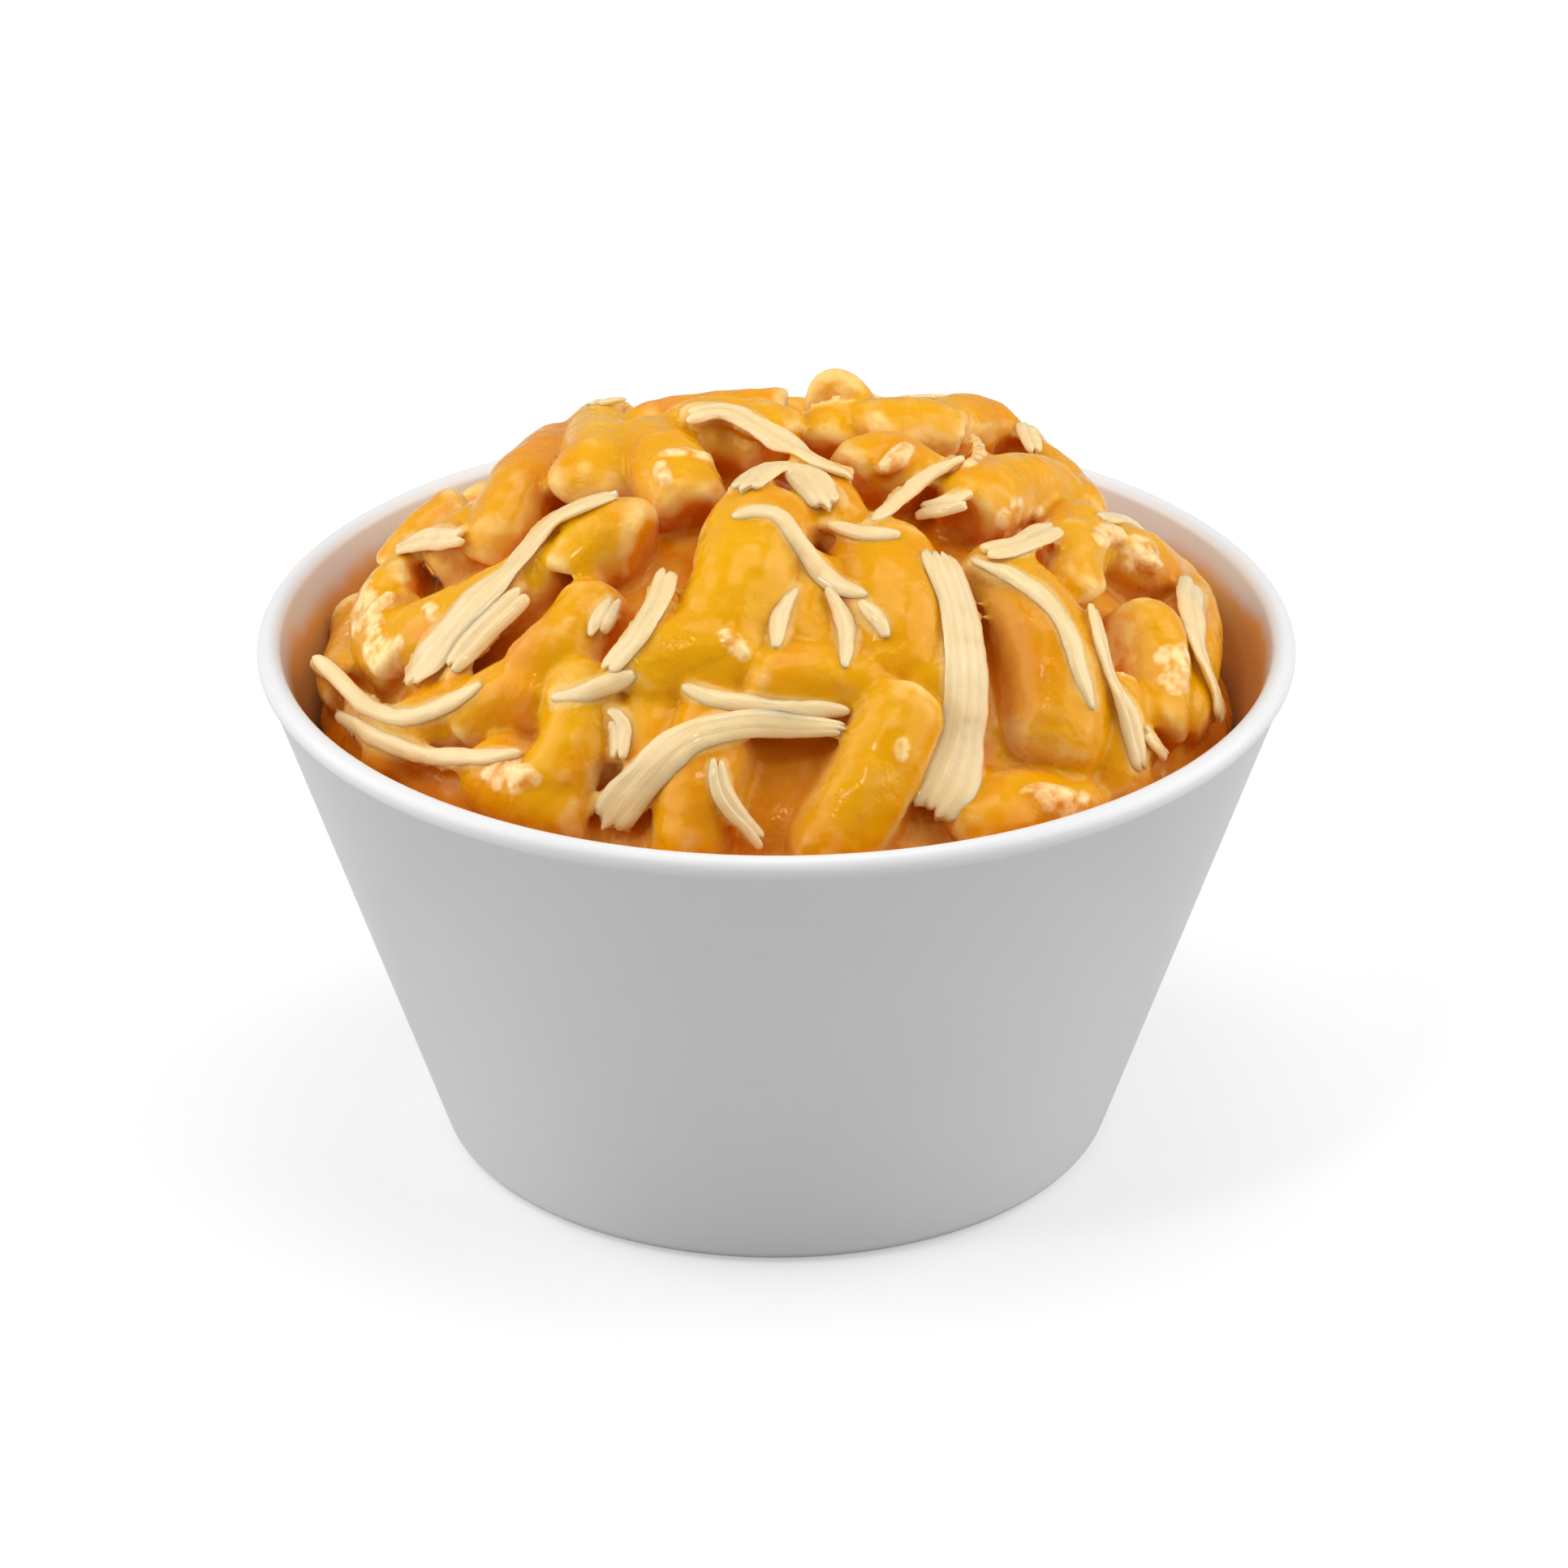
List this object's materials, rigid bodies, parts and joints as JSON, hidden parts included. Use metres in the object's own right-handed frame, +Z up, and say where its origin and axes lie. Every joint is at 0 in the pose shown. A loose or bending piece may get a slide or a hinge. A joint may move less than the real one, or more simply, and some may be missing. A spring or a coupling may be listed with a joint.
{
  "type": "bowl of macaroni and cheese",
  "caption": "Curved macaroni elbows in glossy yellow cheese sauce, heaped in a plain white tapered bowl and topped with strips of grated cheese.",
  "frame": {"origin": "centre of the bowl's foot, on the surface it stands on", "axes": "+Z up along the bowl's axis, -Y towards the front of the serving, +X to its right"},
  "size_m": [0.1098, 0.11, 0.0812],
  "materials": {
    "bowl_glaze": "plain white glazed stoneware with a soft satin sheen",
    "sauced_pasta": "cooked elbow pasta coated in glossy yellow cheese sauce, orange in the gaps",
    "grated_cheese": "pale cream grated cheese, softened and slightly oily"
  },
  "bodies": {
    "root": {"bowl": "bowl_glaze", "macaroni": "sauced_pasta", "shred_01": "grated_cheese", "shred_02": "grated_cheese", "shred_03": "grated_cheese", "shred_04": "grated_cheese", "shred_05": "grated_cheese", "shred_06": "grated_cheese", "shred_07": "grated_cheese", "shred_08": "grated_cheese", "shred_09": "grated_cheese", "shred_10": "grated_cheese", "shred_11": "grated_cheese", "shred_12": "grated_cheese", "shred_13": "grated_cheese", "shred_14": "grated_cheese", "shred_15": "grated_cheese", "shred_16": "grated_cheese", "shred_17": "grated_cheese", "shred_18": "grated_cheese", "shred_19": "grated_cheese", "shred_20": "grated_cheese", "shred_21": "grated_cheese", "shred_22": "grated_cheese", "shred_23": "grated_cheese", "shred_24": "grated_cheese", "shred_25": "grated_cheese", "shred_26": "grated_cheese", "shred_27": "grated_cheese", "shred_28": "grated_cheese", "shred_29": "grated_cheese", "shred_30": "grated_cheese", "shred_31": "grated_cheese", "shred_32": "grated_cheese", "shred_33": "grated_cheese", "shred_34": "grated_cheese", "shred_35": "grated_cheese"}
  },
  "joints": []
}
